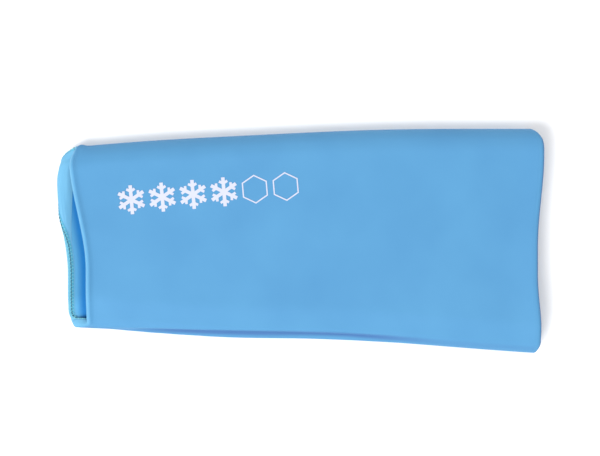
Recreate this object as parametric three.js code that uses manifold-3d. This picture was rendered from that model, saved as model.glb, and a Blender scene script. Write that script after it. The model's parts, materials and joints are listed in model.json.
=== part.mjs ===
// A slip-on cold compression sleeve, laid flat: a tapered tube whose wall is a fabric cover, a film
// pouch of gel and a fabric lining, with a hem at each mouth and one sewn seam along its lower edge.
// Millimetres, +Z up. X runs along the sleeve from the narrow mouth to the wide one, and the origin is
// under the middle of its outline, on the surface that it lies on.
import * as THREE from 'three';
import { mergeVertices } from 'three/addons/utils/BufferGeometryUtils.js';
import Module from 'manifold-3d';

const wasm = await Module();
wasm.setup();

// ---- driving dimensions ----
const HALF_LENGTH = 152.5; // half the outline, from the back wall's narrow rim to the front wall's wide rim
const HALF_WIDTH = 70.5; // half the outline's width, at the wide mouth
const THICKNESS = 18; // both walls and the gap between them
const RIM_STAGGER = 12; // how far the front wall lies towards the wide mouth, past the back wall
const NARROW_RIM_SLANT = 0.075; // the narrow rims lean by this much per millimetre of width
const FOLD_X = 6; // the line that the sleeve folds in half about
const FOLD_SLIT = 0.6; // between the two halves, which are cut at the fold line

// The wall's layers, each as its depth in from the outer surface.
const WALL = [0, 5.3];
const COVER = [0, 0.8];
const OUTER_FILM = [0.9, 1.15];
const GEL = [1.25, 4.25];
const INNER_FILM = [4.35, 4.6];
const LINING = [4.7, 5.3];
const POUCH = [0.9, 4.6];
const COVER_SEAM = [0.9, 2.1]; // the cover's two sewn edges, turned inwards
const LINING_SEAM = [3.4, 4.6]; // the lining's two sewn edges, turned outwards
const OVERLOCK = [5.4, 6.0]; // the stitched band inside the hem

// Where the bands at a mouth begin and end, measured in from the rim.
const HEM_END = 3;
const OVERLOCK_SPAN = [0.6, 3];
const INNER_START = 3.3; // cover, lining and the pouch's end weld
const WELD_END = 7;
const GEL_START = 7.3;

// The pouch is a flat pad wrapped round, and its two long edges stop short of the sewn seam. Angles are
// round the lower edge, in degrees above the level of its middle.
const SEAM_ANGLE = 45;
const GEL_GAP = 31;
const EDGE_WELD = [21, 30];
const SEAM_HALF = 16;

// The printed row of ice marks on the front wall.
const PRINT_LIFT = 0.05; // the glue under the print
const PRINT_THICKNESS = 0.15;
const PRINT_START = [-104.5, 25.6]; // the first mark's centre
const PRINT_ANGLE = 4.9; // degrees
const PRINT_PITCH = 19.2;
const MARK_RADIUS = 9;
const SNOWFLAKES = 4;
const HEXAGONS = 2;
const ARM_WIDTH = 2.2;
const BARB_LENGTH = 3;
const BARB_WIDTH = 1.6;
const BARB_PLACE = 5.2; // from the mark's centre
const HEXAGON_LINE = 0.9;

const RADIUS = THICKNESS / 2;
const NOMINAL_HALF_WIDTH = 60; // of the section that is extruded, before it is spread to the outline
const CENTRE = NOMINAL_HALF_WIDTH - RADIUS; // of each edge's arc, from the middle
const ARC_STEP = 15; // degrees, the same in every layer so that their facets nest
const LENGTH_STEPS = 3; // in a piece that runs along the sleeve, so that it follows the curved upper edge

const radians = THREE.MathUtils.degToRad;
const lerp = THREE.MathUtils.lerp;

// ---- the outline, seen from above ----
const CROWN_X = 92; // the upper edge is straight beyond here and curves down before it
const UPPER_CURVE = 2.05e-4;
const LOWER_SLOPE = 0.0583;
const WIDE_CORNER_X = HALF_LENGTH - RIM_STAGGER / 2; // the wide rim at the middle of the thickness

const upperEdge = (x) => HALF_WIDTH - UPPER_CURVE * Math.min(0, x - CROWN_X) ** 2;
const lowerEdge = (x) => -HALF_WIDTH + LOWER_SLOPE * (WIDE_CORNER_X - x);

const HALVES = {
  narrow: {
    rim: (y, z) =>
      -HALF_LENGTH + NARROW_RIM_SLANT * (CENTRE - y) + (RIM_STAGGER * z) / THICKNESS,
    fold: FOLD_X - FOLD_SLIT / 2,
    towardsFold: 1,
  },
  wide: {
    rim: (y, z) => HALF_LENGTH - RIM_STAGGER * (1 - z / THICKNESS),
    fold: FOLD_X + FOLD_SLIT / 2,
    towardsFold: -1,
  },
};
const nominalLength = (half) => Math.abs(half.fold - half.rim(0, RADIUS));

// Moves a point of the straight section to the sleeve's outline. inset is how far it is from the rim.
function placed(half, y, z, inset) {
  const rim = half.rim(y, z);
  const x = lerp(rim, half.fold, inset / nominalLength(half));
  const edge = y > 0 ? upperEdge(x) - NOMINAL_HALF_WIDTH : lowerEdge(x) + NOMINAL_HALF_WIDTH;
  return [x, y + edge, z];
}

// Extrudes a section of the wall from one inset to another, and lays it along the sleeve.
function laidAlong(half, shape, insets) {
  const steps = Math.abs(insets[1] - insets[0]) > nominalLength(half) / 2 ? LENGTH_STEPS : 1;
  const geometry = new THREE.ExtrudeGeometry(shape, { depth: 1, steps, bevelEnabled: false });
  const [low, high] = half.towardsFold > 0 ? insets : [insets[1], insets[0]];
  const p = geometry.attributes.position;
  for (let i = 0; i < p.count; i++) {
    p.setXYZ(i, ...placed(half, p.getX(i), p.getY(i), lerp(low, high, p.getZ(i))));
  }
  return geometry;
}

// ---- sections of the wall ----

// Points round one edge: side 1 is the upper edge, -1 the lower. Angles are above the middle's level.
function edgeArc(side, depth, from, to) {
  const radius = RADIUS - depth;
  const turn = Math.sign(to - from);
  const angles = [from];
  for (let a = ARC_STEP * Math.ceil(Math.min(from, to) / ARC_STEP); a < Math.max(from, to); a += ARC_STEP) {
    if (a > Math.min(from, to)) angles.push(a);
  }
  angles.push(to);
  angles.sort((a, b) => turn * (a - b));
  return angles.map((degrees) => {
    const a = radians(degrees);
    return new THREE.Vector2(side * (CENTRE + radius * Math.cos(a)), RADIUS + radius * Math.sin(a));
  });
}

const ring = (depth) => [...edgeArc(1, depth, -90, 90), ...edgeArc(-1, depth, 90, -90)];

// A closed band all round the wall, between two depths.
function closedBand([outer, inner]) {
  const shape = new THREE.Shape(ring(outer));
  shape.holes.push(new THREE.Path(ring(inner)));
  return shape;
}

// Runs at one depth from just under the seam, round below and over the front, to just above it.
const wrap = (depth, gap) => [
  ...edgeArc(-1, depth, SEAM_ANGLE - gap, -90),
  ...edgeArc(1, depth, -90, 90),
  ...edgeArc(-1, depth, 90, SEAM_ANGLE + gap),
];
// A band round the wall that is open at the seam.
const openBand = ([outer, inner], gap) =>
  new THREE.Shape([...wrap(outer, gap), ...wrap(inner, gap).reverse()]);

// A strip along the lower edge, between two angles.
const edgeStrip = ([outer, inner], from, to) =>
  new THREE.Shape([...edgeArc(-1, outer, to, from), ...edgeArc(-1, inner, from, to)]);

// ---- materials ----
const material = (color, roughness) => new THREE.MeshStandardMaterial({ color, roughness, metalness: 0 });
const MATERIALS = {
  coverFabric: material('#66ade0', 0.62),
  liningFabric: material('#56a3dd', 0.7),
  thread: material('#5fc4d2', 0.6),
  film: material('#cfe6f2', 0.25),
  gel: material('#4aa3e0', 0.3),
  print: material('#e8ecfb', 0.5),
};

// ---- assembly ----
const sleeve = new THREE.Group();
sleeve.name = 'cold_compression_sleeve';

function add(name, geometry, surface) {
  const mesh = new THREE.Mesh(geometry, surface);
  mesh.name = name;
  sleeve.add(mesh);
  return mesh;
}

for (const [side, half] of Object.entries(HALVES)) {
  const full = [INNER_START, nominalLength(half)];
  const pad = [GEL_START, nominalLength(half)];
  const pieces = [
    [`outer_cover_${side}_half`, closedBand(COVER), full, MATERIALS.coverFabric],
    [`inner_lining_${side}_half`, closedBand(LINING), full, MATERIALS.liningFabric],
    [`pouch_outer_film_${side}_half`, openBand(OUTER_FILM, GEL_GAP), pad, MATERIALS.film],
    [`gel_core_${side}_half`, openBand(GEL, GEL_GAP), pad, MATERIALS.gel],
    [`pouch_inner_film_${side}_half`, openBand(INNER_FILM, GEL_GAP), pad, MATERIALS.film],
    [`${side}_end_hem`, closedBand(WALL), [0, HEM_END], MATERIALS.coverFabric],
    [`${side}_end_overlock`, closedBand(OVERLOCK), OVERLOCK_SPAN, MATERIALS.thread],
    [`${side}_end_pouch_weld`, openBand(POUCH, GEL_GAP), [INNER_START, WELD_END], MATERIALS.film],
  ];
  const strips = [
    ['cover_side_seam', COVER_SEAM, -SEAM_HALF, SEAM_HALF, full, MATERIALS.thread],
    ['lining_side_seam', LINING_SEAM, -SEAM_HALF, SEAM_HALF, full, MATERIALS.thread],
    ['pouch_upper_edge_weld', POUCH, EDGE_WELD[0], EDGE_WELD[1], pad, MATERIALS.film],
    ['pouch_lower_edge_weld', POUCH, -EDGE_WELD[1], -EDGE_WELD[0], pad, MATERIALS.film],
  ];
  for (const [name, depths, from, to, insets, surface] of strips) {
    const shape = edgeStrip(depths, SEAM_ANGLE + from, SEAM_ANGLE + to);
    pieces.push([`${name}_${side}_half`, shape, insets, surface]);
  }
  for (const [name, shape, insets, surface] of pieces) add(name, laidAlong(half, shape, insets), surface);
}

// ---- the print ----
function solidOf(geometry) {
  const bare = geometry.clone();
  bare.deleteAttribute('normal');
  bare.deleteAttribute('uv');
  const merged = mergeVertices(bare);
  return new wasm.Manifold(
    new wasm.Mesh({
      numProp: 3,
      vertProperties: merged.attributes.position.array,
      triVerts: new Uint32Array(merged.index.array),
    }),
  );
}

function geometryOf(solid) {
  const { vertProperties, triVerts } = solid.getMesh();
  const geometry = new THREE.BufferGeometry();
  geometry.setAttribute('position', new THREE.BufferAttribute(vertProperties, 3));
  geometry.setIndex(new THREE.BufferAttribute(triVerts, 1));
  return geometry;
}

// A bar in the print's plane, from a point and along an angle.
function bar(length, width, start, angle) {
  const box = new THREE.BoxGeometry(length, width, PRINT_THICKNESS);
  box.translate(length / 2, 0, 0);
  box.rotateZ(angle);
  box.translate(start.x, start.y, 0);
  return solidOf(box);
}

// The corner or arm directions of a six-sided mark, in radians.
const SIXTH = Math.PI / 3;
const sixAngles = Array.from({ length: 6 }, (_, i) => (i + 0.5) * SIXTH);

function snowflake() {
  let solid = null;
  for (const angle of sixAngles) {
    const fork = new THREE.Vector2(Math.cos(angle), Math.sin(angle)).multiplyScalar(BARB_PLACE);
    const bars = [
      bar(MARK_RADIUS, ARM_WIDTH, new THREE.Vector2(0, 0), angle),
      bar(BARB_LENGTH, BARB_WIDTH, fork, angle + SIXTH),
      bar(BARB_LENGTH, BARB_WIDTH, fork, angle - SIXTH),
    ];
    for (const b of bars) solid = solid ? solid.add(b) : b;
  }
  return geometryOf(solid);
}

function hexagon() {
  const corners = (radius) =>
    sixAngles.map((a) => new THREE.Vector2(radius * Math.cos(a), radius * Math.sin(a)));
  const shape = new THREE.Shape(corners(MARK_RADIUS));
  shape.holes.push(new THREE.Path(corners(MARK_RADIUS - HEXAGON_LINE)));
  const geometry = new THREE.ExtrudeGeometry(shape, { depth: PRINT_THICKNESS, bevelEnabled: false });
  return geometry.translate(0, 0, -PRINT_THICKNESS / 2);
}

for (let i = 0; i < SNOWFLAKES + HEXAGONS; i++) {
  const solid = i < SNOWFLAKES;
  const name = solid ? `print_snowflake_${i + 1}` : `print_hexagon_${i - SNOWFLAKES + 1}`;
  const mark = add(name, solid ? snowflake() : hexagon(), MATERIALS.print);
  const along = i * PRINT_PITCH;
  const angle = radians(PRINT_ANGLE);
  mark.rotation.z = angle;
  mark.position.set(
    PRINT_START[0] + along * Math.cos(angle),
    PRINT_START[1] + along * Math.sin(angle),
    THICKNESS + PRINT_LIFT + PRINT_THICKNESS / 2,
  );
}

export default sleeve;
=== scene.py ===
import json
import math

import bpy
import numpy as np
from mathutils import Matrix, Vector, geometry


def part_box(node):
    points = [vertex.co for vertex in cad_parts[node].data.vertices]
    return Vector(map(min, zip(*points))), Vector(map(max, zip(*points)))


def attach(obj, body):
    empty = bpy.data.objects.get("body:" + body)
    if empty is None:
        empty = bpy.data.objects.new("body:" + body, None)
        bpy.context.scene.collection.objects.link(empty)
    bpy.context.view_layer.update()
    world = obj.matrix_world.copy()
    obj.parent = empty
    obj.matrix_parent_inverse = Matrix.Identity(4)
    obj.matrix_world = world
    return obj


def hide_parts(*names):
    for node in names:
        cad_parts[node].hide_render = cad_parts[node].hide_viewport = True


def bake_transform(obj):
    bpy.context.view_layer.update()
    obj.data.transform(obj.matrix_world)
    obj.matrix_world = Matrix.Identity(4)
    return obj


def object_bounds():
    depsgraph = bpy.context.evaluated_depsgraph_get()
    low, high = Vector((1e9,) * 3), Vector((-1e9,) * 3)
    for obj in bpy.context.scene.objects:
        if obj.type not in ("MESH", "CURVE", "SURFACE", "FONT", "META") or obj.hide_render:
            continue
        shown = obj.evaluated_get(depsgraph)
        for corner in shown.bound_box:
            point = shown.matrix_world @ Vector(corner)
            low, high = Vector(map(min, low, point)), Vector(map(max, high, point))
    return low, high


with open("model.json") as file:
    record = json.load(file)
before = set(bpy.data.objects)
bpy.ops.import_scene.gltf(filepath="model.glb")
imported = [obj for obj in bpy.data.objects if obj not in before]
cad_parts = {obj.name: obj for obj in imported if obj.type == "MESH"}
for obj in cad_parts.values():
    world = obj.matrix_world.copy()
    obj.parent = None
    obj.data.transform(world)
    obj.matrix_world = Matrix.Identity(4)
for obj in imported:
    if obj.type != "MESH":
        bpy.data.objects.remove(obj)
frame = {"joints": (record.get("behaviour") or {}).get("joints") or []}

# The looks of a slip-on cold compression sleeve, laid flat: a tapered tube whose wall is a jersey cover, a
# film pouch of gel and a jersey lining. Every layer follows one surface, place(), so that they nest.

CAD_LOW, CAD_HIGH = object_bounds()
MM = 0.001

# ---- what the frame says ----
FOLD_X = frame["joints"][0]["pos_m"][0]
HALF_LENGTH = CAD_HIGH.x
HALF_WIDTH = CAD_HIGH.y
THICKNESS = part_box("outer_cover_wide_half")[1].z
# Extra points go along each long layer between these two places, around the fold, and further on its
# # narrow side.
BEND_WIDE = (FOLD_X + 12 * MM, 0, 0)
BEND_NARROW = (FOLD_X - 32 * MM, 0, 0)

# ---- the wall's layers, each as its depth in from the outer surface ----
WALL = 5.3 * MM
COVER = (0.0, 0.8 * MM)
OUTER_FILM = (0.9 * MM, 1.15 * MM)
GEL = (1.25 * MM, 4.25 * MM)
INNER_FILM = (4.35 * MM, 4.6 * MM)
LINING = (4.7 * MM, WALL)
POUCH = (0.9 * MM, 4.6 * MM)
COVER_SEAM = (0.9 * MM, 2.1 * MM)
LINING_SEAM = (3.4 * MM, 4.6 * MM)

# Where the bands at a mouth begin and end, measured in from the rim.
HEM_END = 3.27 * MM
LAYERS_START = 3.3 * MM
WELD_END = 7 * MM
GEL_START = 7.3 * MM

# ---- the section ----
EDGE_RADIUS = 7.4 * MM  # of the tube's turn at each long edge
CROWN = THICKNESS - 2 * EDGE_RADIUS  # how far the front wall stands above its edges
# In mm: how far in from each edge the crown starts, and over what length it reaches its full height.
UPPER_CROWN, LOWER_CROWN = (1, 12.5), (2, 19)
NOMINAL_FLAT = 104 * MM  # between the two edges' centres, for spacing points round the section
SEAM_TURN = 135  # degrees: where the seam is, on the lower edge above its middle
GEL_GAP = 31  # degrees each side of the seam that the gel leaves free
EDGE_WELD = (21, 30)  # degrees from the seam
SEAM_HALF = 16  # degrees each side of the seam

# A point goes round the section from the seam: down the lower edge, across the back, up the upper edge,
# across the front and back to the seam. Its turn is the way that the wall faces: 0 is +Y and 90 is up.
LEGS = [EDGE_RADIUS * math.radians(270 - SEAM_TURN), NOMINAL_FLAT, EDGE_RADIUS * math.pi, NOMINAL_FLAT,
        EDGE_RADIUS * math.radians(SEAM_TURN - 90)]
STOPS = np.concatenate([[0], np.cumsum(LEGS)])
TURNS = np.radians([SEAM_TURN, 270, 270, 450, 450, 360 + SEAM_TURN])
SIDES = np.array([-1, -1, 1, 1, -1, -1])  # -1 is the lower edge's centre, 1 is the upper one's
PERIMETER = STOPS[-1]


def from_seam(degrees):
    """How far round the lower edge it is from the seam to that many degrees below it."""
    return EDGE_RADIUS * math.radians(degrees)


def smooth(t):
    """Rises softly from 0 to 1."""
    t = np.clip(t, 0, 1)
    return t * t * (3 - 2 * t)


def hump(t):
    """A soft bump of height 1 at t = 0."""
    return np.exp(-t * t)


def mix(a, b, t):
    """a at t = 0 and b at t = 1."""
    return a + (b - a) * t


# The outline and the surface are built up from soft changes, given in mm: (how much, from where, over what
# length). A negative length goes towards lower numbers. A bump is (how much, its middle, its half width).
def along(at, start, length):
    """0 at the start and 1 when the length is passed."""
    return (at - start * MM) / (length * MM)


def rise(at, *changes):
    """What the changes add up to, each one rising softly over its length."""
    return sum(amount * MM * smooth(along(at, *where)) for amount, *where in changes)


def late_rise(at, *changes):
    """The same, each one rising mostly near its end."""
    return sum(amount * MM * np.clip(along(at, *where), 0, 1) ** 3 for amount, *where in changes)


def round_rise(at, change):
    """A rise along a quarter of a circle."""
    amount, *where = change
    return amount * MM * (1 - np.sqrt(1 - np.clip(along(at, *where), 0, 1) ** 2))


def bump(at, change):
    amount, *where = change
    return amount * MM * hump(along(at, *where))


# ---- the outline, seen from above ----
UPPER_STRAIGHT_FROM = 90 * MM
UPPER_CURVE = 0.213  # per metre
UPPER_SAG = 0.3 * MM
UPPER_HOLLOW = (0.95, -26, 65)
LOWER_SLOPE = 0.0571
LOWER_SLOPE_TO = HALF_LENGTH - 6 * MM
LOWER_HOLLOW = (2.3, 22, 91)
LOWER_BULGE = (1.8, -42, 45)

# Each rim's X, and how it changes along Y. The last changes are at its corners.
BACK_RIM_X = -145.4 * MM
BACK_RIM_RISES = ((-7.1, -20, 60), (2.8, 41, 17), (1.5, -43, -7))
BACK_RIM_CORNERS = ((3, 55, 4), (2.2, -47, -7))
FRONT_RIM_X = -133 * MM
FRONT_RIM_RISES = ((-10.8, -18, 70), (2.5, 46, 12))
FRONT_RIM_CORNER = (3, 56, 5)
WIDE_RIM_X = 147.6 * MM
WIDE_RIM_RISES = ((3.9, -4, 58), (2.2, -22, -34))
WIDE_UPPER_CORNER = (-7, 58, 12.6)
WIDE_LOWER_CORNER = (-1.6, -60, -10)
WIDE_STAGGER = 11 * MM  # how far the front wall reaches past the back wall


def upper_edge(x):
    """Y of the sleeve's upper edge."""
    curve = UPPER_CURVE * np.minimum(0, x - UPPER_STRAIGHT_FROM) ** 2
    return HALF_WIDTH - curve - UPPER_SAG - bump(x, UPPER_HOLLOW)


def lower_edge(x):
    """Y of its lower edge."""
    straight = -HALF_WIDTH + LOWER_SLOPE * (LOWER_SLOPE_TO - x)
    return straight + bump(x, LOWER_HOLLOW) - bump(x, LOWER_BULGE)


def narrow_rim(y, front):
    """X of the narrow rim, where front is 0 on the back wall and 1 on the front wall."""
    back_x = BACK_RIM_X + rise(y, *BACK_RIM_RISES) + late_rise(y, *BACK_RIM_CORNERS)
    front_x = FRONT_RIM_X + rise(y, *FRONT_RIM_RISES) + late_rise(y, FRONT_RIM_CORNER)
    return mix(back_x, front_x, front)


def wide_rim(y, front):
    """X of the wide rim, likewise."""
    corners = round_rise(y, WIDE_UPPER_CORNER) + late_rise(y, WIDE_LOWER_CORNER)
    return WIDE_RIM_X + rise(y, *WIDE_RIM_RISES) + corners - WIDE_STAGGER * (1 - front)


# ---- the surface ----
# A place where something changes is (from where, over what length), again in mm.
WAVES_FROM_EDGE = (0, 20)

# The crease beside the seam starts near the lower edge's middle at the narrow mouth, and climbs past the
# seam between these distances in from the rim.
CREASE_FROM, CREASE_TO = 5 * MM, 95 * MM
CREASE_BELOW_SEAM = (34, -4)  # degrees, at its two ends
GROOVE_DEPTH, GROOVE_HALF = 1.8 * MM, 16  # the half width is in degrees
LIP_HEIGHT, LIP_HALF = 0.6 * MM, 10
LIP_BELOW_GROOVE = 30  # degrees
GROOVE_GROWS = (10, 45)  # in from the narrow rim
GROOVE_FADES = (25, 65)  # along X
GROOVE_LEFT = 0.15  # its share when it has faded
WANDER = ((2, 13, 0), (3, 29, 1))  # degrees, and a sine's length in mm and its phase

# Round each long edge the narrow rim crosses from the back wall's place to the front wall's. These are
# heights above the edge's centre, as shares of its radius: where it starts, and over how much.
LOWER_CROSSING = (0, 0.8)
UPPER_CROSSING = (-0.6, 0.55)

# The narrow mouth, in from its rim.
UPPER_TUCK = (3, 0, 9)  # the back wall's upper corner is drawn in
UPPER_SWELL = (1.1, 4.5, 2.6)  # the front wall's upper corner stands out
FRONT_LOWERED = (2.2, 0, 20)
PROUD_RIM = (1.1, 1.9, 2)
ROLL_CREASE = (0.5, 4.6, 1.1)  # behind the rim, where it rolls inwards
CURL = 4.2 * MM  # of the back wall's rim
CURL_WIDTH = 7.5 * MM
CURL_MOVES = 5 * MM  # further in, where the rim rolls
# The same mouth, along Y.
LOWERED_TO_UPPER, LOWERED_TO_LOWER = (2, 34), (-30, -14)
LOWER_SHARE = 0.5  # of the lowering, towards the lower edge
ROLLED_IN = (16, 22)  # where the back wall's rim goes over to rolling inwards
CURL_ENDS = (-34, -10)
CURL_LOST = (0.45, 0.65)  # the shares lost where it is rolled in, and where it ends
# The wide mouth, in from its rim.
WIDE_FLARE = (1.5, 0, 11)


def waves(x, y):
    """The front wall's slow unevenness, where the gel is thicker or thinner: three waves, each with its
    height in mm, its lengths and its phase."""
    broad = 0.30 * np.sin(x / (31 * MM) + 0.8) * np.cos(y / (27 * MM) - 0.4)
    slanting = 0.18 * np.sin(x / (17 * MM) - y / (21 * MM) + 2.1)
    small = 0.10 * np.sin(x / (9.5 * MM) + y / (12 * MM))
    return MM * (broad + slanting + small)


def front_height(x, y):
    """How much the front wall stands above its edges' radius, away from the mouths."""
    from_upper, from_lower = upper_edge(x) - y, y - lower_edge(x)
    crown = CROWN * smooth(along(from_upper, *UPPER_CROWN)) * smooth(along(from_lower, *LOWER_CROWN))
    return crown + waves(x, y) * smooth(along(np.minimum(from_upper, from_lower), *WAVES_FROM_EDGE))


def groove(turn, x, from_narrow):
    """How much the seam draws the lower edge in, less the lip that stands out below it."""
    climb = smooth((from_narrow - CREASE_FROM) / (CREASE_TO - CREASE_FROM))
    wander = sum(size * np.sin(x / (length * MM) + phase) for size, length, phase in WANDER)
    below = np.degrees(turn) % 360 - (SEAM_TURN + mix(*CREASE_BELOW_SEAM, climb) + wander)
    drawn_in = GROOVE_DEPTH * hump(below / GROOVE_HALF)
    lip = LIP_HEIGHT * hump((below - LIP_BELOW_GROOVE) / LIP_HALF)
    grown, faded = smooth(along(from_narrow, *GROOVE_GROWS)), smooth(along(x, *GROOVE_FADES))
    return grown * mix(1, GROOVE_LEFT, faded) * (drawn_in - lip)


def mouth_height(turn, y, from_narrow, from_wide):
    """How much higher than a plain tube the wall lies near the mouths."""
    front, back = np.clip(np.sin(turn), 0, 1), np.clip(-np.sin(turn), 0, 1)
    near_edges = smooth(along(y, *LOWERED_TO_UPPER)) + LOWER_SHARE * smooth(along(y, *LOWERED_TO_LOWER))
    lowered = bump(from_narrow, FRONT_LOWERED) * near_edges
    rolled_in = smooth(along(y, *ROLLED_IN))
    curl = CURL * (1 - CURL_LOST[0] * rolled_in - CURL_LOST[1] * smooth(along(y, *CURL_ENDS)))
    curled = curl * hump((from_narrow - CURL_MOVES * rolled_in) / CURL_WIDTH)
    creased = rolled_in * bump(from_narrow, ROLL_CREASE)
    proud = bump(from_narrow, PROUD_RIM) + bump(from_wide, WIDE_FLARE)
    return front * (proud - lowered) + back * (curled - creased)


def place(round_by, lengthwise, depth):
    """The point that is round_by from the seam, lengthwise from 0 at the narrow rim to 1 at the wide one,
    and depth in from the outer surface. The three may be arrays that broadcast together."""
    round_by, lengthwise, depth = np.broadcast_arrays(round_by, lengthwise, depth)
    turn = np.interp(round_by % PERIMETER, STOPS, TURNS)
    upper = (np.interp(round_by % PERIMETER, STOPS, SIDES) + 1) / 2

    def centre_y(x):
        return mix(lower_edge(x) + EDGE_RADIUS, upper_edge(x) - EDGE_RADIUS, upper)

    def crossed(start, over):
        return smooth((np.sin(turn) - start) / over)

    reach = EDGE_RADIUS * np.cos(turn)
    at_upper = crossed(*UPPER_CROSSING)
    narrow_x = narrow_rim(centre_y(-HALF_LENGTH) + reach, mix(crossed(*LOWER_CROSSING), at_upper, upper))
    wide_x = wide_rim(centre_y(HALF_LENGTH) + reach, smooth(1 + np.sin(turn)))
    x = mix(narrow_x, wide_x, lengthwise)
    from_narrow = x - narrow_x
    radius = EDGE_RADIUS - depth - (1 - depth / WALL) * groove(turn, x, from_narrow)
    tuck = upper * (1 - at_upper) * bump(from_narrow, UPPER_TUCK)
    swell = upper * at_upper * bump(from_narrow, UPPER_SWELL)
    y = centre_y(x) + radius * np.cos(turn) - tuck + swell
    z = EDGE_RADIUS + radius * np.sin(turn) + np.clip(np.sin(turn), 0, 1) * front_height(x, y)
    z = z + mouth_height(turn, y, from_narrow, wide_x - x)
    return np.stack([x, y, z], -1)


def front_surface(x, y):
    """The front wall's height, away from the mouths."""
    return 2 * EDGE_RADIUS + front_height(x, y)


def length_at(round_by):
    """How far it is from rim to rim."""
    ends = place(np.asarray(round_by), np.array([[0.0], [1.0]]), 0.0)
    return ends[1, :, 0] - ends[0, :, 0]


# ---- mesh building ----
SHARP_FROM = math.radians(50)


def new_piece(name, points, faces, uvs, materials):
    """A mesh object with one UV pair, in metres of cloth, for each face corner."""
    mesh = bpy.data.meshes.new(name)
    mesh.from_pydata(points.reshape(-1, 3).tolist(), [], faces)
    layer = mesh.uv_layers.new(name="cloth")
    layer.data.foreach_set("uv", np.asarray(uvs, np.float32).ravel())
    for m in materials:
        mesh.materials.append(m)
    mesh.shade_smooth()
    mesh.set_sharp_from_angle(angle=SHARP_FROM)
    piece = bpy.data.objects.new(name, mesh)
    bpy.context.scene.collection.objects.link(piece)
    return piece


def grid_faces(rows, columns, wrap_rows, wrap_columns, u, v):
    """Faces over a grid of points, and their corners' UVs from u, one per row, and v, one per column."""
    faces, uvs = [], []
    for i in range(rows if wrap_rows else rows - 1):
        for j in range(columns if wrap_columns else columns - 1):
            corners = [(i, j), (i, j + 1), (i + 1, j + 1), (i + 1, j)]
            faces.append([(a % rows) * columns + b % columns for a, b in corners])
            uvs += [(u[a], v[b]) for a, b in corners]
    return faces, uvs


# Extra points along a layer: near its ends, measured in from them, and where it bends.
NEAR_MOUTH = np.array([1, 2, 4]) * MM
BEND_STEP = 1.1 * MM
RING_V = 0.5 * MM  # of cloth for each step round a ring's profile
HEM_POINTS = 18  # across the rolled rim, from the cover round to the lining


def spread(start, end, step):
    return np.linspace(start, end, max(2, round(abs(end - start) / step) + 1))


def round_points(first, last, flat_step, edge_step):
    """Places round the section, closer together on the two long edges."""
    breaks = np.unique(np.clip(np.concatenate([[first, last], STOPS]), first, last))
    parts = []
    for a, b in zip(breaks[:-1], breaks[1:]):
        on_flat = STOPS[1] <= a < STOPS[2] or STOPS[3] <= a < STOPS[4]
        parts.append(spread(a, b, flat_step if on_flat else edge_step)[:-1])
    return np.concatenate([*parts, [last]])


def shell(name, depths, span, insets, steps, material):
    """A layer of the wall between two depths. span is the two ends of its way round, or None all the way
    round, and insets are how far it starts from the narrow rim and ends from the wide one. A negative inset
    is measured from the other rim. steps are between points on the flat walls, on the long edges and along
    the sleeve."""
    flat_step, edge_step, along_step = steps
    closed = span is None
    ps = round_points(*(span or (0, PERIMETER)), flat_step, edge_step)
    lengths = length_at(ps)[:, None]
    start, end = (i / lengths if i >= 0 else 1 + i / lengths for i in insets)
    end = 1 - end
    run = float(np.mean((end - start) * lengths))
    ts = spread(0, 1, along_step / run)
    if run > HALF_LENGTH:
        near = NEAR_MOUTH / run
        bend = (spread(BEND_NARROW[0], BEND_WIDE[0], BEND_STEP) + HALF_LENGTH) / (2 * HALF_LENGTH)
        ts = np.unique(np.concatenate([ts, near, 1 - near, bend]))
    vs = mix(start, end, ts[None, :])
    outside, inside = (place(ps[:, None], vs, d) for d in depths)
    # Each row is a loop: out along the outer surface and back along the inner one.
    points = np.concatenate([outside, inside[:, ::-1]], 1)
    if closed:
        points = points[:-1]
    v = run * np.concatenate([ts, ts[::-1], ts[:1]])
    rows, columns = points.shape[:2]
    faces, uvs = grid_faces(rows, columns, closed, True, ps, v)
    if not closed:
        for row, turn in ((0, -1), (rows - 1, 1)):
            for j in range(len(ts) - 1):
                corners = [j, j + 1, columns - 2 - j, columns - 1 - j][::turn]
                faces.append([row * columns + c for c in corners])
                uvs += [(ps[row], v[c]) for c in corners]
    return new_piece(name, points, faces, uvs, [material])


def at_mouth(end, ps, insets, depths):
    """Points near a mouth, from how far they are in from its rim. end is 0 at the narrow mouth and 1 at the
    wide one."""
    share = insets / length_at(ps)[:, None]
    return place(ps[:, None], 1 - share if end else share, depths)


def ring_mesh(end, ps, insets, depths):
    """A band round a mouth, swept from a closed profile: its points, faces and UVs. ps ends where it
    began."""
    points = at_mouth(end, ps, insets, depths)[:-1]
    v = np.arange(points.shape[1] + 1) * RING_V
    faces, uvs = grid_faces(*points.shape[:2], True, True, ps, v)
    if end:
        faces = [f[::-1] for f in faces]
        uvs = [uvs[i + k] for i in range(0, len(uvs), 4) for k in (3, 2, 1, 0)]
    return points.reshape(-1, 3), faces, uvs


# ---- materials ----
def srgb(r, g, b):
    """A colour from 0 to 255, as the linear one that a shader takes."""
    c = np.array([r, g, b]) / 255
    return (*np.where(c <= 0.04045, c / 12.92, ((c + 0.055) / 1.055) ** 2.4), 1)


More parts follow.
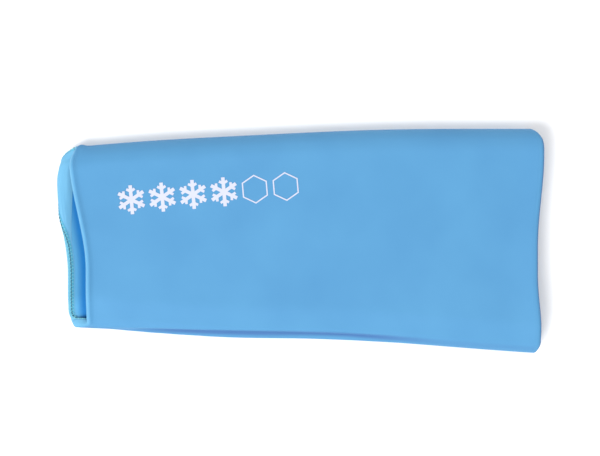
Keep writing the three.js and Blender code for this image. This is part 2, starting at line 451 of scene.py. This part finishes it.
class Shader:
    """A procedural material, built up by short calls."""

    def __init__(self, name, **sockets):
        self.material = bpy.data.materials.new(name)
        self.material.use_nodes = True
        self.tree = self.material.node_tree
        self.surface = self.tree.nodes["Principled BSDF"]
        for socket, value in sockets.items():
            self.surface.inputs[socket.replace("_", " ")].default_value = value

    def node(self, kind, **inputs):
        node = self.tree.nodes.new(kind)
        for socket, value in inputs.items():
            self.put(node.inputs[socket.replace("_", " ")], value)
        return node

    def put(self, socket, value):
        if isinstance(value, bpy.types.NodeSocket):
            self.tree.links.new(value, socket)
        else:
            socket.default_value = value

    def calc(self, operation, *values):
        node = self.tree.nodes.new("ShaderNodeMath")
        node.operation = operation
        for socket, value in zip(node.inputs, values):
            self.put(socket, value)
        return node.outputs[0]

    def on_cloth(self):
        uv = self.tree.nodes.new("ShaderNodeUVMap")
        uv.uv_map = "cloth"
        return uv.outputs["UV"]

    def cloth(self):
        """The two lengths along the cloth, in metres."""
        split = self.node("ShaderNodeSeparateXYZ", Vector=self.on_cloth())
        return split.outputs["X"], split.outputs["Y"]

    def noise(self, size, detail=3.0):
        """Noise from 0 to 1 whose blotches are about size metres across."""
        noise = self.node("ShaderNodeTexNoise", Vector=self.on_cloth(), Scale=1 / size, Detail=detail)
        return noise.outputs["Fac"]

    def colour(self, amount, low, high):
        ramp = self.node("ShaderNodeValToRGB", Fac=amount)
        ramp.color_ramp.elements[0].color = low
        ramp.color_ramp.elements[1].color = high
        return ramp.outputs["Color"]

    def ramp(self, value, low, high, at_low, at_high):
        """Goes smoothly from at_low, where the value is low, to at_high, where it is high."""
        ramp = self.node("ShaderNodeMapRange", Value=value, From_Min=low, From_Max=high, To_Min=at_low,
                         To_Max=at_high)
        ramp.interpolation_type = "SMOOTHSTEP"
        return ramp.outputs["Result"]

    def blend(self, amount, first, second):
        """Mixes two colours. A Mix node takes them at its sockets 6 and 7, and gives the result at 2."""
        mixer = self.tree.nodes.new("ShaderNodeMix")
        mixer.data_type = "RGBA"
        for socket, value in ((0, amount), (6, first), (7, second)):
            self.put(mixer.inputs[socket], value)
        return mixer.outputs[2]

    def base(self, colour):
        self.put(self.surface.inputs["Base Color"], colour)

    def relief(self, height, distance):
        """Shades the surface as if a height of 1 stood that distance proud."""
        bumps = self.node("ShaderNodeBump", Height=height, Distance=distance)
        self.put(self.surface.inputs["Normal"], bumps.outputs["Normal"])


# Masks over the cloth: from where, to where, and the values at those two places.
CREASE_SHADE_GROWS = (20 * MM, 65 * MM, 0.15, 0.9)
CREASE_SHADE_FADES = (165 * MM, 235 * MM, 1.0, 0.2)
CREASE_SHADE_LINE = (0.7 * MM, 3.2 * MM, 1.0, 0.0)  # aside of its middle
MOUTH_PAINTED_LIGHT = (1.5 * MM, 7 * MM, 1.0, 0.0)
CREST_V = (HEM_POINTS - 1) / 2 * RING_V  # where a hem's crest is, from where it meets the cover
CREST_SHADE_LINE = (1 * MM, 2.2 * MM, 1.0, 0.0)  # aside of the crest
TURNING_IN_HIGHLIGHT = (0.2 * MM, CREST_V - 1 * MM, 0.0, 1.0)


def crease(s):
    """How much the cloth is drawn in, from 0 to 1, by its seam: where the cover is darkened as painted
    shade of the crease.
    """
    u, v = s.cloth()
    once_round = s.calc("MULTIPLY", s.calc("GREATER_THAN", u, PERIMETER / 2), PERIMETER)
    past_seam = s.calc("SUBTRACT", u, once_round)
    where = s.ramp(v, CREASE_FROM, CREASE_TO, *map(from_seam, CREASE_BELOW_SEAM))
    aside = s.calc("ABSOLUTE", s.calc("SUBTRACT", past_seam, where))
    drawn = s.calc("MULTIPLY", s.ramp(v, *CREASE_SHADE_GROWS), s.ramp(v, *CREASE_SHADE_FADES))
    return s.calc("MULTIPLY", s.ramp(aside, *CREASE_SHADE_LINE), drawn)


def mouth(s):
    """How near the narrow mouth the cloth is, from 1 at the rim to 0 further in: where the lining's painted
    light goes.
    """
    return s.ramp(s.cloth()[1], *MOUTH_PAINTED_LIGHT)


def crest(s):
    """How near a hem's cloth is to the rim's crest, from 0 to 1: where the wide rim's painted shade goes.
    """
    aside = s.calc("ABSOLUTE", s.calc("SUBTRACT", s.cloth()[1], CREST_V))
    return s.ramp(aside, *CREST_SHADE_LINE)


def turned_in_highlight(s):
    """How far a hem's cloth has turned in, from 0 where it meets the cover to 1 at the crest and inside:
    where the narrow rim's painted highlight goes.
    """
    return s.ramp(s.cloth()[1], *TURNING_IN_HIGHLIGHT)


JERSEY_SHEEN = srgb(150, 205, 255)
LOOP_SHARE, RIB_SHARE = 0.3, 0.2  # of the knit's height
FIBRE_SIZE, FIBRE_SHARE = 0.5 * MM, 0.5
BLOTCH_SIZE = 42 * MM  # of the uneven dye
KNIT_TONE, FIBRE_TONE = 0.22, 0.3
KNIT_HEIGHT = 0.06 * MM


def jersey(name, low, high, wale, course, where=None, tint=None):
    """A fine knit: columns of V-shaped loops, with a soft sheen and a slightly uneven dye, which goes over
    to the tint as where says."""
    s = Shader(name, Roughness=0.62, Sheen_Weight=0.25, Sheen_Roughness=0.45, Sheen_Tint=JERSEY_SHEEN,
               Specular_IOR_Level=0.25)
    u, v = s.cloth()
    in_wale = s.calc("FRACT", s.calc("DIVIDE", u, wale))
    side = s.calc("ABSOLUTE", s.calc("SUBTRACT", in_wale, 0.5))
    row = s.calc("ADD", s.calc("DIVIDE", v, course), side)
    loop = s.calc("SINE", s.calc("MULTIPLY", row, 2 * math.pi))
    rib = s.calc("COSINE", s.calc("MULTIPLY", side, 2 * math.pi))
    knit = s.calc("ADD", s.calc("MULTIPLY", loop, LOOP_SHARE), s.calc("MULTIPLY", rib, RIB_SHARE))
    fibre = s.noise(FIBRE_SIZE, detail=2)
    fibre_tone = s.calc("MULTIPLY", s.calc("SUBTRACT", fibre, 0.5), FIBRE_TONE)
    tone = s.calc("ADD", s.calc("MULTIPLY", knit, KNIT_TONE), fibre_tone)
    dyed = s.colour(s.calc("ADD", tone, s.noise(BLOTCH_SIZE, detail=2)), low, high)
    s.base(s.blend(where(s), dyed, tint) if where else dyed)
    s.relief(s.calc("ADD", knit, s.calc("MULTIPLY", fibre, FIBRE_SHARE)), KNIT_HEIGHT)
    return s.material


PLY_TONE = 0.25


def spun_thread(name, low, high, twist):
    """Spun polyester thread: fine plies that wind round it."""
    s = Shader(name, Roughness=0.5, Sheen_Weight=0.35, Sheen_Roughness=0.4)
    u, v = s.cloth()
    ply = s.calc("SINE", s.calc("MULTIPLY", s.calc("ADD", u, v), 2 * math.pi / twist))
    tone = s.calc("ADD", s.calc("MULTIPLY", ply, PLY_TONE), s.noise(size=1.5 * MM))
    s.base(s.colour(tone, low, high))
    s.relief(ply, distance=0.05 * MM)
    return s.material


def film(name, low, high, alpha):
    s = Shader(name, Roughness=0.28, Alpha=alpha, Specular_IOR_Level=0.5)
    s.base(s.colour(s.noise(size=9 * MM), low, high))
    s.relief(s.noise(size=3 * MM), distance=0.1 * MM)
    return s.material


def gel_stuff(name, low, high):
    s = Shader(name, Roughness=0.3, Subsurface_Weight=0.3)
    s.base(s.colour(s.noise(size=12 * MM), low, high))
    s.relief(s.noise(size=2.5 * MM), distance=0.08 * MM)
    return s.material


def transfer_print(name, low, high):
    """Heat-transfer film: smooth, and faintly marked by the knit beneath it."""
    s = Shader(name, Roughness=0.42, Specular_IOR_Level=0.4)
    s.base(s.colour(s.noise(size=4 * MM), low, high))
    s.relief(s.noise(size=0.8 * MM), distance=0.02 * MM)
    return s.material


COVER_DYE = (srgb(70, 131, 177), srgb(82, 145, 188))
KNIT = (0.55 * MM, 0.45 * MM)
# The cover goes over to a darker blue along the crease beside the seam: painted shade of the crease.
COVER_CLOTH = jersey("cover_jersey", *COVER_DYE, *KNIT, crease, srgb(64, 106, 160))
# The narrow rim goes over to a paler blue towards its crest and stays pale inside: painted highlight.
NARROW_RIM_CLOTH = jersey("narrow_rim_jersey", *COVER_DYE, *KNIT, turned_in_highlight, srgb(104, 168, 204))
# The wide rim darkens along its crest: painted shade, where the roll turns away from the light.
WIDE_RIM_CLOTH = jersey("wide_rim_jersey", *COVER_DYE, *KNIT, crest, srgb(46, 88, 146))
RIM_CLOTHS = (NARROW_RIM_CLOTH, WIDE_RIM_CLOTH)
# The lining's own blue, made deeper and more saturated as painted shade of the tube's inside. Near the
# narrow rim it goes over to a paler blue: painted light where the mouth is lit.
LINING_DYE_AND_SHADE = (srgb(18, 116, 188), srgb(32, 130, 202))
LINING_CLOTH = jersey("lining_jersey", *LINING_DYE_AND_SHADE, *KNIT, mouth, srgb(90, 164, 206))
AQUA_THREAD = spun_thread("aqua_thread", srgb(100, 184, 204), srgb(132, 208, 220), 0.5 * MM)
# The needle row's thread is dark teal to stand in for the shade of the needle holes between its stitches:
# painted shade on a real row of stitches.
TEAL_SHADE_THREAD = spun_thread("teal_thread", srgb(8, 70, 98), srgb(24, 96, 122), 0.5 * MM)
AQUA_BAND = jersey("aqua_band", srgb(74, 158, 192), srgb(92, 176, 206), 0.5 * MM, 0.4 * MM)
SEAM_THREAD = spun_thread("seam_thread", srgb(70, 150, 200), srgb(110, 180, 220), 0.5 * MM)
CLEAR_FILM = film("clear_film", srgb(196, 222, 236), srgb(214, 234, 244), 0.6)
COLD_GEL = gel_stuff("cold_gel", srgb(58, 146, 212), srgb(84, 170, 226))
PRINT_FILM = transfer_print("print_film", srgb(184, 188, 206), srgb(194, 198, 214))


# ---- the layers that run from mouth to mouth ----
def both_halves(piece, slot, *stems):
    """The piece stands for both halves of each CAD node named by a stem."""
    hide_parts(*[f"{stem}_{side}_half" for stem in stems for side in ("narrow", "wide")])
    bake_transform(piece)


EDGE_STEP = 0.9 * MM  # the same for every layer, so that none cuts through the next
FLAT_STEP = 2.2 * MM
FINE = (FLAT_STEP, EDGE_STEP, 2.4 * MM)
COARSE = (3 * FLAT_STEP, EDGE_STEP, 4.8 * MM)
STRIP = (1 * MM, EDGE_STEP, 4 * MM)
END_BAND = (FLAT_STEP, EDGE_STEP, 2 * MM)
PAD_SPAN = (from_seam(GEL_GAP), PERIMETER - from_seam(GEL_GAP))
LAYERS = (LAYERS_START, LAYERS_START)
PAD = (GEL_START, GEL_START)

cover = shell("cover", COVER, None, LAYERS, FINE, COVER_CLOTH)
both_halves(cover, "cover_fabric", "outer_cover")
lining = shell("lining", LINING, None, LAYERS, FINE, LINING_CLOTH)
both_halves(lining, "lining_fabric", "inner_lining")
gel = shell("gel_pad", GEL, PAD_SPAN, PAD, COARSE, COLD_GEL)
both_halves(gel, "gel", "gel_core")
for name, depths, stem in (("outer_pouch_film", OUTER_FILM, "pouch_outer_film"),
                           ("inner_pouch_film", INNER_FILM, "pouch_inner_film")):
    both_halves(shell(name, depths, PAD_SPAN, PAD, COARSE, CLEAR_FILM), "pouch_film", stem)

SEAM_SPAN = (from_seam(-SEAM_HALF), from_seam(SEAM_HALF))
LOWER_WELD = [from_seam(a) for a in EDGE_WELD]
UPPER_WELD = [-d for d in reversed(LOWER_WELD)]
for name, depths, span, insets, slot, material, stem in (
    ("cover_seam_allowance", COVER_SEAM, SEAM_SPAN, LAYERS, "thread", SEAM_THREAD, "cover_side_seam"),
    ("lining_seam_allowance", LINING_SEAM, SEAM_SPAN, LAYERS, "thread", SEAM_THREAD, "lining_side_seam"),
    ("upper_edge_weld", POUCH, UPPER_WELD, PAD, "pouch_film", CLEAR_FILM, "pouch_upper_edge_weld"),
    ("lower_edge_weld", POUCH, LOWER_WELD, PAD, "pouch_film", CLEAR_FILM, "pouch_lower_edge_weld"),
):
    both_halves(shell(name, depths, span, insets, STRIP, material), slot, stem)


# ---- the mouths ----
def at_one_end(piece, side, node):
    """The piece moves with its half, and stands for one CAD node."""
    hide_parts(node)
    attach(piece, f"{side}_half")


ROLL = WALL / 2  # the rim is a half round
QUARTER = ROLL * math.pi / 2
HEM_BACK_STEPS = 4  # across the wall, where the hem meets the layers
FLAP = (1.3 * MM, 0.5 * MM)  # at the narrow mouth and the wide one, in from the cover's edge
FLAP_SHARES = np.linspace(0.05, 1, 7)  # points across the flap, as shares of its width
FLAP_FOLLOWS = 0.7  # how much wider the flap is where the stitches shift, as a share of the shift
FLAP_LIFT = 0.16 * MM
FLAP_UNDERSIDE = 0.03 * MM  # off the lining

# The stitched band, along the rim's surface from its crest.
BAND_FROM, BAND_TO = 2.9 * MM, 5.6 * MM
BAND_MIDDLE, BAND_HALF = (BAND_FROM + BAND_TO) / 2, (BAND_TO - BAND_FROM) / 2
NEEDLE_ROW = 4.0 * MM
CHAIN_ROW, CHAIN_SWING = 2.8 * MM, 0.22 * MM
BAND_STEPS = (1.5 * MM, 0.6 * MM)
BAND_ACROSS = np.linspace(-1, 1, 7)  # points across the band
BAND_LIFT = 0.34 * MM
BAND_ROUNDNESS = 0.7
BAND_UNDERSIDE = 0.04 * MM
STITCH_PITCH = 2.24 * MM
THREAD = 0.19 * MM  # radius
NEEDLE_THREAD = 0.27 * MM
NEEDLE_RISE = 1.3  # of its radius, above the band and below it
ZIGZAG_POINT = 0.96  # 1 would be a sharp zigzag
ZIGZAG_DIP = 0.3
THREAD_SIDES = 6
LINE_POINTS = 1200  # for measuring the stitched line

# How the narrow mouth's stitches shift: outwards from the middle of the back wall until just past the start
# of the upper edge, and inwards at the lower edge.
OUTWARD = 8 * MM
OUTWARD_ON_BACK, OUTWARD_ENDS = (46, 46), (9, 5)
INWARD = (1.7, 0, 7)


def on_rim(s, lift):
    """(inset, depth) of a point at s along the rolled rim's surface: 0 at its crest, and positive towards
    the inside. lift is how far it stands off the surface."""
    angle = np.clip(s, -QUARTER, QUARTER) / ROLL
    beyond = np.maximum(0, np.abs(s) - QUARTER)
    return ROLL - (ROLL + lift) * np.cos(angle) + beyond, ROLL + (ROLL + lift) * np.sin(angle)


def band_shift(ps, end):
    """The narrow mouth's back rim rolls inwards towards the upper edge, which carries its stitches outside.
    At the lower edge they lie deeper inside."""
    if end:
        return 0 * ps
    back, upper = STOPS[1], STOPS[2]
    outside = smooth(along(ps - back, *OUTWARD_ON_BACK)) - smooth(along(ps - upper, *OUTWARD_ENDS))
    return bump(np.minimum(ps, PERIMETER - ps), INWARD) - OUTWARD * outside


def hem(name, end):
    """The cover's rolled edge: round at the rim, flat where it meets the cover, pouch and lining, and with
    a flap that lies on the lining."""
    ps = round_points(0, PERIMETER, FLAT_STEP, EDGE_STEP)
    reach = QUARTER + HEM_END - ROLL
    round_the_rim = on_rim(np.linspace(-reach, reach, HEM_POINTS), 0)
    flap_at = reach + (FLAP[end] + FLAP_FOLLOWS * np.abs(band_shift(ps, end)))[:, None] * FLAP_SHARES
    flap = on_rim(np.concatenate([flap_at, flap_at[:, ::-1]], 1),
                  np.repeat([FLAP_LIFT, FLAP_UNDERSIDE], len(FLAP_SHARES)))
    back = np.full(HEM_BACK_STEPS, HEM_END), WALL * np.linspace(1, 0, HEM_BACK_STEPS, endpoint=False)

    def joined(parts):
        """The parts side by side, as columns for every place round the mouth."""
        return np.concatenate([np.broadcast_to(part, (len(ps), part.shape[-1])) for part in parts], 1)

    insets, depths = map(joined, zip(round_the_rim, flap, back))
    return new_piece(name, *ring_mesh(end, ps, insets, depths), [RIM_CLOTHS[end]])


def thread_line(end, ps, s, lift):
    """Points along one line round a mouth, s along the rim's surface and lift off it."""
    insets, depths = on_rim(s, lift)
    return at_mouth(end, ps, insets[:, None], depths[:, None])[:, 0]


def unit(vectors):
    return vectors / np.linalg.norm(vectors, axis=1)[:, None]


def stitched(end, s, lift, per_stitch, radius=THREAD):
    """A closed thread round a mouth. s and lift say, for an array of stitch numbers, where the thread is
    along the rim's surface and how far off it. Gives the tube's points, faces and UVs."""
    ps = np.linspace(0, PERIMETER, LINE_POINTS)
    line = thread_line(end, ps, np.full(len(ps), BAND_MIDDLE), 0)
    run = np.concatenate([[0], np.cumsum(np.linalg.norm(np.diff(line, axis=0), axis=1))])
    stitches = round(run[-1] / STITCH_PITCH)
    count = np.arange(stitches * per_stitch + 1) / per_stitch
    ps = np.interp(count * run[-1] / stitches, run, ps)
    at = s(count) + band_shift(ps, end)
    middle, above = (thread_line(end, ps, at, lift(count) + h)[:-1] for h in (0, THREAD))
    ahead = unit(np.roll(middle, -1, 0) - np.roll(middle, 1, 0))
    up = above - middle
    up = unit(up - (up * ahead).sum(1)[:, None] * ahead)
    aside = np.cross(ahead, up)
    angles = np.linspace(0, 2 * math.pi, THREAD_SIDES, endpoint=False)
    around = np.cos(angles)[None, :, None] * up[:, None] + np.sin(angles)[None, :, None] * aside[:, None]
    points = middle[:, None] + radius * around
    u = np.arange(len(middle) + 1) * STITCH_PITCH / per_stitch
    v = np.arange(THREAD_SIDES + 1) * 2 * math.pi * radius / THREAD_SIDES
    faces, uvs = grid_faces(*points.shape[:2], True, True, u, v)
    return points.reshape(-1, 3), faces, uvs


def stitched_band(end):
    """The overlock's raised band of cloth, crowned across."""
    ps = round_points(0, PERIMETER, *BAND_STEPS)
    across = BAND_MIDDLE + BAND_HALF * BAND_ACROSS + band_shift(ps, end)[:, None]
    upper = on_rim(across, BAND_LIFT * np.sqrt(1 - BAND_ROUNDNESS * BAND_ACROSS ** 2))
    lower = on_rim(across[:, ::-1], BAND_UNDERSIDE)
    insets, depths = (np.concatenate(sides, 1) for sides in zip(upper, lower))
    return ring_mesh(end, ps, insets, depths)


def swing(n):
    """From -1 to 1 and back once in each stitch."""
    return np.sin(2 * math.pi * n)


def crossing_thread(end):
    """It goes to and fro across the band in a slightly blunt zigzag, lowest at its sides."""
    def across(n):
        return BAND_MIDDLE + BAND_HALF * np.arcsin(ZIGZAG_POINT * swing(n)) / (math.pi / 2)

    def lift(n):
        return BAND_LIFT + THREAD * mix(1, ZIGZAG_DIP, swing(n) ** 2)

    return stitched(end, across, lift, per_stitch=12)


def chain_thread(end):
    """It runs along the rim side of the band, and weaves a little."""
    def across(n):
        return CHAIN_ROW + CHAIN_SWING * swing(n)

    def lift(n):
        return BAND_LIFT / 2 + THREAD * (1 + swing(n + 1 / 4) / 2)

    return stitched(end, across, lift, per_stitch=8)


def needle_thread(end):
    """A row of stitches that stand proud, and dip into the cloth between."""
    def lift(n):
        return BAND_LIFT + NEEDLE_THREAD * NEEDLE_RISE * (2 * np.sqrt(np.abs(swing(n / 2))) - 1)

    return stitched(end, lambda n: np.full(len(n), NEEDLE_ROW), lift, per_stitch=8, radius=NEEDLE_THREAD)


def overlock(name, end):
    """The stitched inner edge: the band, two aqua threads and a row of dark teal ones, whose darkness is
    painted shade of the needle holes.
    """
    parts = [stitched_band(end), crossing_thread(end), chain_thread(end), needle_thread(end)]
    points, faces, uvs, materials = [], [], [], []
    for (part_points, part_faces, part_uvs), material in zip(parts, (0, 1, 1, 2)):
        start = sum(len(p) for p in points)
        points.append(part_points)
        faces += [[i + start for i in f] for f in part_faces]
        uvs += list(part_uvs)
        materials += [material] * len(part_faces)
    piece = new_piece(name, np.concatenate(points), faces, uvs, [AQUA_BAND, AQUA_THREAD, TEAL_SHADE_THREAD])
    piece.data.polygons.foreach_set("material_index", materials)
    return piece


for end, side in enumerate(("narrow", "wide")):
    at_one_end(hem(f"{side}_rolled_hem", end), side, f"{side}_end_hem")
    at_one_end(overlock(f"{side}_overlock_stitching", end), side, f"{side}_end_overlock")
    weld_insets = (LAYERS_START, -WELD_END) if end == 0 else (-WELD_END, LAYERS_START)
    weld = shell(f"{side}_pouch_end_weld", POUCH, PAD_SPAN, weld_insets, END_BAND, CLEAR_FILM)
    at_one_end(weld, side, f"{side}_end_pouch_weld")

# ---- the print: a row of cold marks, snowflakes and open hexagons ----
MARK_RADIUS = 9 * MM
ARM_HALF = 1.1 * MM
BARB_PLACE = 5.2 * MM  # from the mark's centre
BARB_LENGTH = 3.0 * MM
BARB_HALF = 0.8 * MM
HEXAGON_LINE = 0.9 * MM
OUTLINE_STEP = 0.8 * MM
PRINT_LIFT = 0.06 * MM
PRINT_THICKNESS = 0.12 * MM
SIXTH = math.pi / 3


def turned(points, angle):
    c, s = math.cos(angle), math.sin(angle)
    return [(x * c - y * s, x * s + y * c) for x, y in points]


def snowflake_outline():
    """Six arms, each with two barbs that leave it at 60 degrees."""
    c, s = math.cos(SIXTH), math.sin(SIXTH)

    def barb_corner(aside, out):
        return (BARB_PLACE + out * c - aside * s, out * s + aside * c)

    def on_arm(aside):
        """Where the barb's edge, that far aside of its middle, meets the arm's."""
        return barb_corner(aside, (ARM_HALF - aside * c) / s)

    notch = (ARM_HALF / math.tan(SIXTH / 2), ARM_HALF)
    upper = [on_arm(BARB_HALF), barb_corner(BARB_HALF, BARB_LENGTH), barb_corner(-BARB_HALF, BARB_LENGTH),
             on_arm(-BARB_HALF), (MARK_RADIUS, ARM_HALF)]
    arm = [(x, -y) for x, y in upper] + upper[::-1] + [notch]
    return [[q for i in range(6) for q in turned(arm, (i + 0.5) * SIXTH)]]


def hexagon_outline():
    def loop(radius):
        return [turned([(radius, 0)], (i + 0.5) * SIXTH)[0] for i in range(6)]

    return [loop(MARK_RADIUS), loop(MARK_RADIUS - HEXAGON_LINE)[::-1]]


def finely(loop):
    """The same closed outline with points no further apart than OUTLINE_STEP."""
    fine = []
    for a, b in zip(loop, loop[1:] + loop[:1]):
        parts = math.ceil(math.dist(a, b) / OUTLINE_STEP)
        fine += [tuple(mix(np.array(a), np.array(b), i / parts)) for i in range(parts)]
    return fine


def printed(name, loops, centre, angle):
    """A thin film that lies on the front wall, cut to the outline."""
    loops = [[(x + centre[0], y + centre[1]) for x, y in turned(finely(loop), angle)] for loop in loops]
    flat = np.array([q for loop in loops for q in loop])
    x, y = flat.T
    ground = front_surface(x, y) + PRINT_LIFT
    points = np.concatenate([np.stack([x, y, ground + h], -1) for h in (0, PRINT_THICKNESS)])
    count = len(flat)
    triangles = geometry.tessellate_polygon([[Vector((*q, 0)) for q in loop] for loop in loops])
    faces = []
    for t in triangles:
        (ax, ay), (bx, by), (cx, cy) = flat[list(t)]
        up = (bx - ax) * (cy - ay) - (by - ay) * (cx - ax) > 0
        top = list(t) if up else list(t)[::-1]
        faces += [[i + count for i in top], top[::-1]]
    start = 0
    for loop in loops:
        for i in range(len(loop)):
            a, b = start + i, start + (i + 1) % len(loop)
            faces.append([a, b, b + count, a + count])
        start += len(loop)
    uvs = [tuple(points[i][:2]) for f in faces for i in f]
    return new_piece(name, points, faces, uvs, [PRINT_FILM])


# Each mark's centre is its CAD node's, and the row's slope is the slope between the first two.
MARKS = [(f"print_snowflake_{i}", snowflake_outline()) for i in range(1, 5)]
MARKS += [(f"print_hexagon_{i}", hexagon_outline()) for i in range(1, 3)]
centres = [sum(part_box(node), Vector()) / 2 for node, _ in MARKS]
step_along = centres[1] - centres[0]
ROW_ANGLE = math.atan2(step_along.y, step_along.x)
for i, (node, outline) in enumerate(MARKS):
    mark = printed(f"ice_mark_{i + 1}", outline, centres[i][:2], ROW_ANGLE)
    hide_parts(node)
    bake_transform(mark)

# ---- floor, light and camera ----
FLOOR_HALF = 8.0
floor_mesh = bpy.data.meshes.new("floor")
corners = [(x * FLOOR_HALF, y * FLOOR_HALF, 0) for x, y in ((-1, -1), (1, -1), (1, 1), (-1, 1))]
floor_mesh.from_pydata(corners, [], [(0, 1, 2, 3)])
floor = bpy.data.objects.new("floor", floor_mesh)
bpy.context.scene.collection.objects.link(floor)
floor_shader = Shader("pale_floor", Roughness=0.9, Base_Color=(0.93, 0.93, 0.94, 1))
floor_mesh.materials.append(floor_shader.material)

scene = bpy.context.scene
scene.view_settings.view_transform = "Standard"
world = bpy.data.worlds.new("studio")
scene.world = world
world.use_nodes = True
world.node_tree.nodes["Background"].inputs["Color"].default_value = (1, 1, 1, 1)
world.node_tree.nodes["Background"].inputs["Strength"].default_value = 0.6


def softbox(name, location, size, power):
    light = bpy.data.lights.new(name, "AREA")
    light.shape = "RECTANGLE"
    light.size, light.size_y = size
    light.energy = power
    lamp = bpy.data.objects.new(name, light)
    lamp.location = location
    lamp.rotation_euler = (-Vector(location)).to_track_quat("-Z", "Y").to_euler()
    scene.collection.objects.link(lamp)


softbox("key", (-1.05, -1.3, 1.9), size=(1.5, 1.5), power=72)
softbox("fill", (0.7, 1.5, 1.9), size=(1.2, 1.2), power=22)

camera_data = bpy.data.cameras.new("camera")
camera_data.lens = 100
camera_data.sensor_width = 36
camera = bpy.data.objects.new("camera", camera_data)
IMAGE_WIDTH = 375 * MM  # what the picture takes in across, at the sleeve's middle height
CAMERA_HEIGHT = IMAGE_WIDTH * camera_data.lens / camera_data.sensor_width + THICKNESS / 2
CAMERA_Y = 8.1 * MM  # the sleeve lies a little below the picture's middle
camera.location = (0, CAMERA_Y, CAMERA_HEIGHT)
scene.collection.objects.link(camera)
scene.camera = camera
